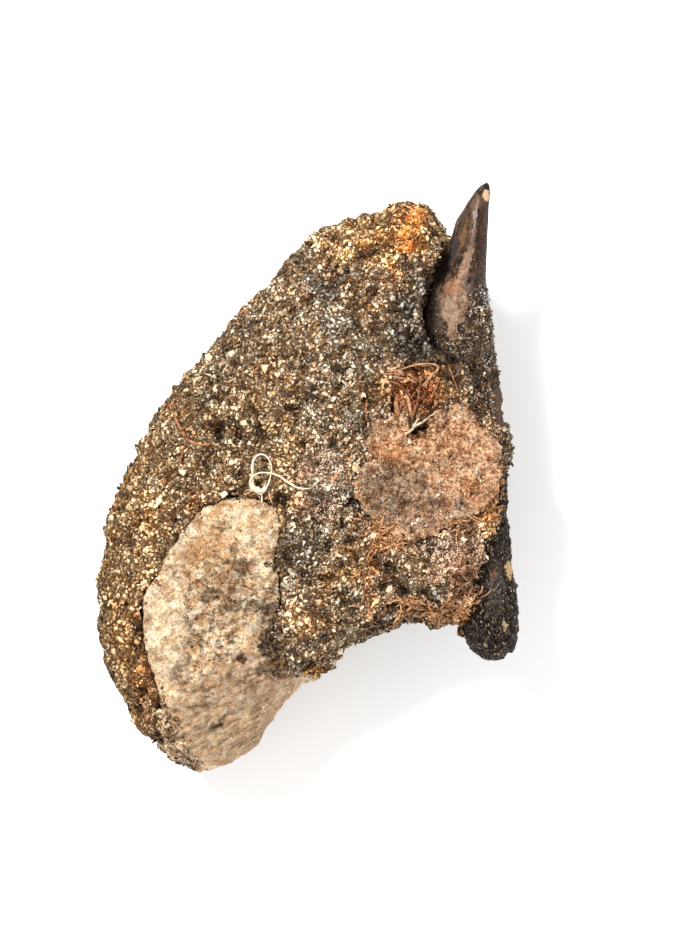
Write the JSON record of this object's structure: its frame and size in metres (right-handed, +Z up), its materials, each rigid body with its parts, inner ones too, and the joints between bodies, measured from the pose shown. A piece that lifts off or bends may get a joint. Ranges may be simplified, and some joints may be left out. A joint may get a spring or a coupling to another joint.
{
  "type": "fossil mammal tooth in sandstone matrix",
  "caption": "Slender conical fossil mammal tooth, crown and root, held in a loose lump of sandstone with a mudstone clast and a clay crust, resting flat.",
  "frame": {"origin": "the middle of the flat patch on the underside, where the stone rests on a table", "axes": "+Z up out of the broken face that shows the tooth, +Y along the tooth towards the tip of its crown, +X towards the side of the stone that the tooth lies on"},
  "size_m": [0.0463, 0.0651, 0.0231],
  "materials": {
    "tooth_enamel": "dark brown-black fossil enamel and dentine, semi-gloss, stained",
    "sandstone": "rough, medium-coarse mixed sand grains, iron-stained",
    "mudstone": "matt cream mudstone, mottled brown",
    "clay_crust": "matt pinkish-brown granular clay"
  },
  "bodies": {
    "root": {"tooth": "tooth_enamel", "sandstone_matrix": "sandstone", "mudstone_clast": "mudstone", "clay_crust": "clay_crust"}
  },
  "joints": []
}
